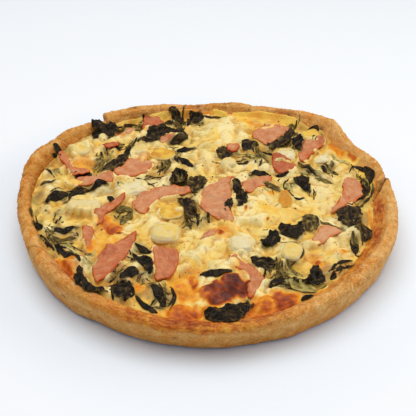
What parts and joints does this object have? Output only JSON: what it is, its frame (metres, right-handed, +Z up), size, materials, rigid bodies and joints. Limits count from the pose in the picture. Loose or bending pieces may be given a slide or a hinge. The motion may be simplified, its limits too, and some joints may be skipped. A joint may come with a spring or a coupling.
{
  "type": "quiche",
  "caption": "Whole round quiche turned out of its tin: a low flared pastry crust filled level with baked custard, topped with ham strips, potato, onion and wilted leaves.",
  "frame": {"origin": "centre of the flat underside", "axes": "+Z up, -Y towards the side seen nearest, +X to that view's right"},
  "size_m": [0.2705, 0.2602, 0.0324],
  "materials": {
    "crust": "baked shortcrust, dry and finely crumbly, golden brown",
    "custard": "baked egg custard, satin, browned in patches",
    "ham": "moist roasted ham with browned edges",
    "potato": "cooked potato, waxy",
    "onion": "soft cooked onion, slightly clear",
    "leaf": "wilted and roasted leaf, nearly black with an olive cast"
  },
  "bodies": {
    "root": {"crust": "crust", "custard": "custard", "potato_01": "potato", "potato_02": "potato", "potato_03": "potato", "potato_04": "potato", "potato_05": "potato", "potato_06": "potato", "potato_07": "potato", "potato_08": "potato", "potato_09": "potato", "potato_10": "potato", "potato_11": "potato", "onion_01": "onion", "onion_02": "onion", "leaf_01": "leaf", "leaf_02": "leaf", "leaf_03": "leaf", "leaf_04": "leaf", "leaf_05": "leaf", "leaf_06": "leaf", "leaf_07": "leaf", "leaf_08": "leaf", "leaf_09": "leaf", "leaf_10": "leaf", "leaf_11": "leaf", "leaf_12": "leaf", "leaf_13": "leaf", "leaf_14": "leaf", "leaf_15": "leaf", "leaf_16": "leaf", "leaf_17": "leaf", "leaf_18": "leaf", "leaf_19": "leaf", "leaf_20": "leaf", "leaf_21": "leaf", "leaf_22": "leaf", "leaf_23": "leaf", "leaf_24": "leaf", "leaf_25": "leaf", "leaf_26": "leaf", "ham_01": "ham", "ham_02": "ham", "ham_03": "ham", "ham_04": "ham", "ham_05": "ham", "ham_06": "ham", "ham_07": "ham", "ham_08": "ham", "ham_09": "ham", "ham_10": "ham", "ham_11": "ham", "ham_12": "ham", "ham_13": "ham", "ham_14": "ham", "ham_15": "ham", "ham_16": "ham", "ham_17": "ham", "ham_18": "ham", "ham_19": "ham"}
  },
  "joints": []
}
